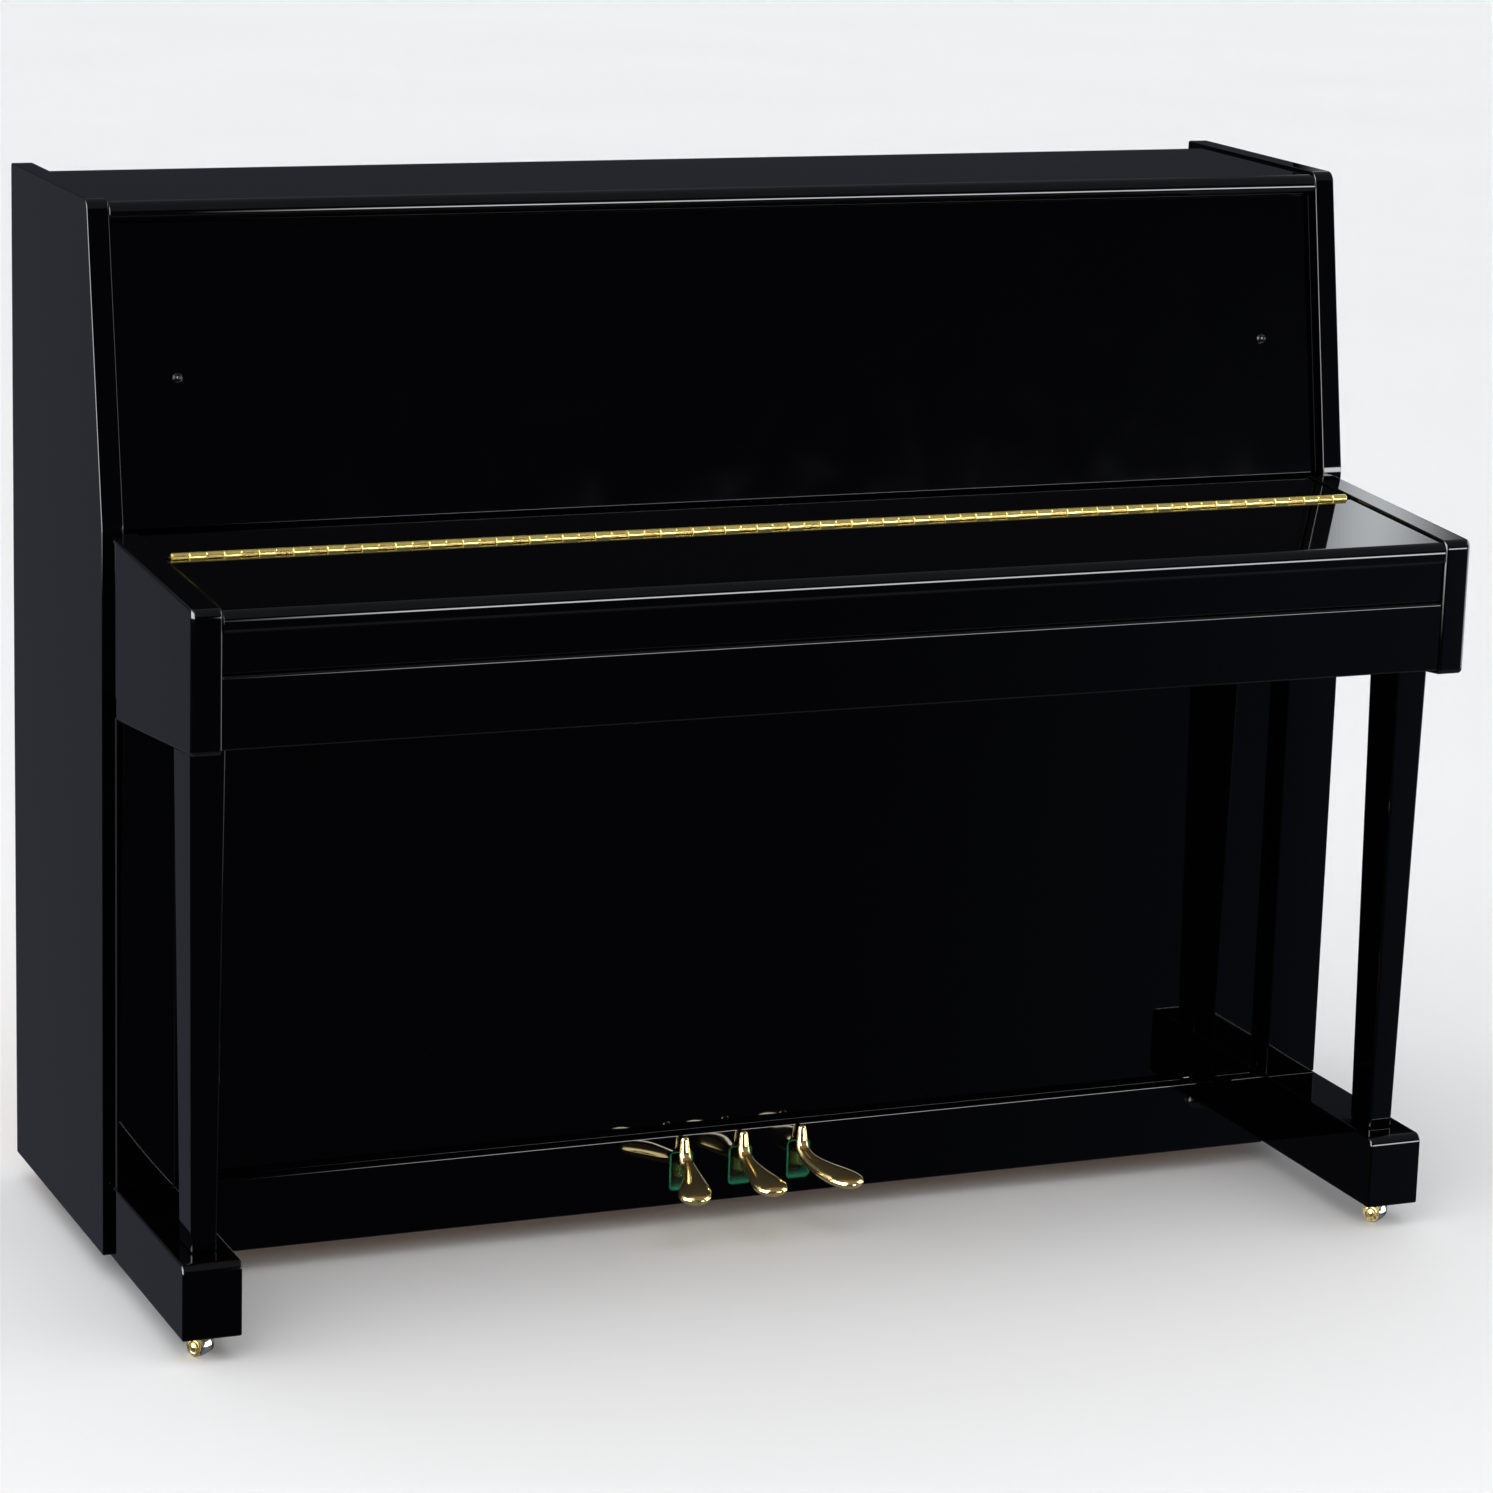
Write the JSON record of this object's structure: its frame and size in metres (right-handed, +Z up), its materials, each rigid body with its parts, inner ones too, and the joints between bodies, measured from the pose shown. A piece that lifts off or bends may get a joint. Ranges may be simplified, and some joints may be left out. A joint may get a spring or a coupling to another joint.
{
  "type": "upright piano",
  "caption": "Upright piano with a closed fallboard on a continuous brass hinge, pedals, straight legs on toe blocks and small casters.",
  "frame": {"origin": "on the floor, under the middle of the piano", "axes": "+X to the treble end as the player sees it, +Y to the back, +Z up"},
  "size_m": [1.38, 0.64, 1.09],
  "materials": {
    "black_lacquer": "black polyester lacquer polished to a mirror gloss",
    "brass": "polished brass",
    "polished_steel": "polished steel",
    "rubber": "matt black rubber",
    "white_key": "satin ivory-coloured key covering",
    "black_key": "satin black",
    "bare_wood": "planed beech",
    "spruce": "clear-varnished spruce",
    "bronzed_iron": "bronze-painted cast iron",
    "felt": "wool felt"
  },
  "bodies": {
    "case": {"left_side_panel": "black_lacquer", "left_arm": "black_lacquer", "left_pilaster": "black_lacquer", "left_toe_block": "black_lacquer", "left_leg": "black_lacquer", "left_key_block": "black_lacquer", "left_fallboard_buffer": "rubber", "right_side_panel": "black_lacquer", "right_arm": "black_lacquer", "right_pilaster": "black_lacquer", "right_toe_block": "black_lacquer", "right_leg": "black_lacquer", "right_key_block": "black_lacquer", "right_fallboard_buffer": "rubber", "plinth": "black_lacquer", "lower_front_panel": "black_lacquer", "upper_front_panel": "black_lacquer", "key_slip": "black_lacquer", "fallboard_rear_strip": "black_lacquer", "bottom_board": "bare_wood", "key_bed": "bare_wood", "key_frame": "bare_wood", "pin_block": "bare_wood", "back_frame": "spruce", "soundboard": "spruce", "piano_hinge_fixed_leaf": "brass", "piano_hinge_pin": "brass", "pedal_pivot_bracket": "polished_steel", "bass_natural_keys": "white_key", "treble_natural_keys": "white_key", "bass_sharp_keys": "black_key", "treble_sharp_keys": "black_key", "iron_plate": "bronzed_iron", "hammer_action": "felt"},
    "fallboard": {"fallboard_flap": "black_lacquer", "piano_hinge_moving_leaf": "brass"},
    "lid": {"top_lid": "black_lacquer"},
    "soft_pedal_lever": {"soft_pedal": "brass"},
    "practice_pedal_lever": {"practice_pedal": "brass"},
    "damper_pedal_lever": {"damper_pedal": "brass"},
    "left_front_caster_swivel": {"left_front_caster_fork": "brass"},
    "left_front_caster_roller": {"left_front_caster_wheel": "polished_steel"},
    "left_rear_caster_swivel": {"left_rear_caster_fork": "brass"},
    "left_rear_caster_roller": {"left_rear_caster_wheel": "polished_steel"},
    "right_front_caster_swivel": {"right_front_caster_fork": "brass"},
    "right_front_caster_roller": {"right_front_caster_wheel": "polished_steel"},
    "right_rear_caster_swivel": {"right_rear_caster_fork": "brass"},
    "right_rear_caster_roller": {"right_rear_caster_wheel": "polished_steel"},
    "key_c4_lever": {"key_c4": "white_key"},
    "key_c4_sharp_lever": {"key_c4_sharp": "black_key"},
    "key_d4_lever": {"key_d4": "white_key"},
    "key_d4_sharp_lever": {"key_d4_sharp": "black_key"},
    "key_e4_lever": {"key_e4": "white_key"},
    "key_f4_lever": {"key_f4": "white_key"},
    "key_f4_sharp_lever": {"key_f4_sharp": "black_key"},
    "key_g4_lever": {"key_g4": "white_key"},
    "key_g4_sharp_lever": {"key_g4_sharp": "black_key"},
    "key_a4_lever": {"key_a4": "white_key"},
    "key_a4_sharp_lever": {"key_a4_sharp": "black_key"},
    "key_b4_lever": {"key_b4": "white_key"}
  },
  "joints": [
    {"name": "fallboard_hinge", "type": "hinge", "parent": "case", "child": "fallboard", "pos_m": [0, -0.119, 0.761], "axis": [-1, 0, 0], "range_deg": [0, 130]},
    {"name": "lid_hinge", "type": "hinge", "parent": "case", "child": "lid", "pos_m": [0, 0.274, 1.069], "axis": [-1, 0, 0], "range_deg": [0, 95]},
    {"name": "soft_pedal_press", "type": "hinge", "parent": "case", "child": "soft_pedal_lever", "pos_m": [-0.0715, 0.02, 0.06], "axis": [1, 0, 0], "range_deg": [0, 5.5], "stiffness_Nm_per_rad": 25, "springref_deg": -6.88},
    {"name": "practice_pedal_press", "type": "hinge", "parent": "case", "child": "practice_pedal_lever", "pos_m": [-0.0045, 0.02, 0.06], "axis": [1, 0, 0], "range_deg": [0, 5.5], "stiffness_Nm_per_rad": 25, "springref_deg": -6.88},
    {"name": "damper_pedal_press", "type": "hinge", "parent": "case", "child": "damper_pedal_lever", "pos_m": [0.0625, 0.02, 0.06], "axis": [1, 0, 0], "range_deg": [0, 5.5], "stiffness_Nm_per_rad": 25, "springref_deg": -6.88},
    {"name": "left_front_caster_turn", "type": "hinge", "parent": "case", "child": "left_front_caster_swivel", "pos_m": [-0.653, -0.272, 0.04], "axis": [0, 0, 1], "continuous": true},
    {"name": "left_front_caster_roll", "type": "hinge", "parent": "left_front_caster_swivel", "child": "left_front_caster_roller", "pos_m": [-0.65702, -0.26627, 0.0105], "axis": [0.8192, 0.5736, 0], "continuous": true},
    {"name": "right_front_caster_turn", "type": "hinge", "parent": "case", "child": "right_front_caster_swivel", "pos_m": [0.653, -0.272, 0.04], "axis": [0, 0, 1], "continuous": true},
    {"name": "right_front_caster_roll", "type": "hinge", "parent": "right_front_caster_swivel", "child": "right_front_caster_roller", "pos_m": [0.64899, -0.26627, 0.0105], "axis": [0.8192, 0.5736, 0], "continuous": true},
    {"name": "left_rear_caster_turn", "type": "hinge", "parent": "case", "child": "left_rear_caster_swivel", "pos_m": [-0.6, 0.285, 0.04], "axis": [0, 0, 1], "continuous": true},
    {"name": "left_rear_caster_roll", "type": "hinge", "parent": "left_rear_caster_swivel", "child": "left_rear_caster_roller", "pos_m": [-0.60401, 0.29073, 0.0105], "axis": [0.8192, 0.5736, 0], "continuous": true},
    {"name": "right_rear_caster_turn", "type": "hinge", "parent": "case", "child": "right_rear_caster_swivel", "pos_m": [0.6, 0.285, 0.04], "axis": [0, 0, 1], "continuous": true},
    {"name": "right_rear_caster_roll", "type": "hinge", "parent": "right_rear_caster_swivel", "child": "right_rear_caster_roller", "pos_m": [0.59598, 0.29073, 0.0105], "axis": [0.8192, 0.5736, 0], "continuous": true},
    {"name": "key_c4_press", "type": "hinge", "parent": "case", "child": "key_c4_lever", "pos_m": [-0.05889, -0.071, 0.696], "axis": [1, 0, 0], "range_deg": [0, 2.6], "stiffness_Nm_per_rad": 0.6, "springref_deg": -22.92},
    {"name": "key_c4_sharp_press", "type": "hinge", "parent": "case", "child": "key_c4_sharp_lever", "pos_m": [-0.04962, -0.071, 0.696], "axis": [1, 0, 0], "range_deg": [0, 2.6], "stiffness_Nm_per_rad": 0.6, "springref_deg": -22.92},
    {"name": "key_d4_press", "type": "hinge", "parent": "case", "child": "key_d4_lever", "pos_m": [-0.03534, -0.071, 0.696], "axis": [1, 0, 0], "range_deg": [0, 2.6], "stiffness_Nm_per_rad": 0.6, "springref_deg": -22.92},
    {"name": "key_d4_sharp_press", "type": "hinge", "parent": "case", "child": "key_d4_sharp_lever", "pos_m": [-0.02106, -0.071, 0.696], "axis": [1, 0, 0], "range_deg": [0, 2.6], "stiffness_Nm_per_rad": 0.6, "springref_deg": -22.92},
    {"name": "key_e4_press", "type": "hinge", "parent": "case", "child": "key_e4_lever", "pos_m": [-0.01178, -0.071, 0.696], "axis": [1, 0, 0], "range_deg": [0, 2.6], "stiffness_Nm_per_rad": 0.6, "springref_deg": -22.92},
    {"name": "key_f4_press", "type": "hinge", "parent": "case", "child": "key_f4_lever", "pos_m": [0.01178, -0.071, 0.696], "axis": [1, 0, 0], "range_deg": [0, 2.6], "stiffness_Nm_per_rad": 0.6, "springref_deg": -22.92},
    {"name": "key_f4_sharp_press", "type": "hinge", "parent": "case", "child": "key_f4_sharp_lever", "pos_m": [0.02006, -0.071, 0.696], "axis": [1, 0, 0], "range_deg": [0, 2.6], "stiffness_Nm_per_rad": 0.6, "springref_deg": -22.92},
    {"name": "key_g4_press", "type": "hinge", "parent": "case", "child": "key_g4_lever", "pos_m": [0.03534, -0.071, 0.696], "axis": [1, 0, 0], "range_deg": [0, 2.6], "stiffness_Nm_per_rad": 0.6, "springref_deg": -22.92},
    {"name": "key_g4_sharp_press", "type": "hinge", "parent": "case", "child": "key_g4_sharp_lever", "pos_m": [0.04712, -0.071, 0.696], "axis": [1, 0, 0], "range_deg": [0, 2.6], "stiffness_Nm_per_rad": 0.6, "springref_deg": -22.92},
    {"name": "key_a4_press", "type": "hinge", "parent": "case", "child": "key_a4_lever", "pos_m": [0.05889, -0.071, 0.696], "axis": [1, 0, 0], "range_deg": [0, 2.6], "stiffness_Nm_per_rad": 0.6, "springref_deg": -22.92},
    {"name": "key_a4_sharp_press", "type": "hinge", "parent": "case", "child": "key_a4_sharp_lever", "pos_m": [0.07417, -0.071, 0.696], "axis": [1, 0, 0], "range_deg": [0, 2.6], "stiffness_Nm_per_rad": 0.6, "springref_deg": -22.92},
    {"name": "key_b4_press", "type": "hinge", "parent": "case", "child": "key_b4_lever", "pos_m": [0.08245, -0.071, 0.696], "axis": [1, 0, 0], "range_deg": [0, 2.6], "stiffness_Nm_per_rad": 0.6, "springref_deg": -22.92}
  ]
}
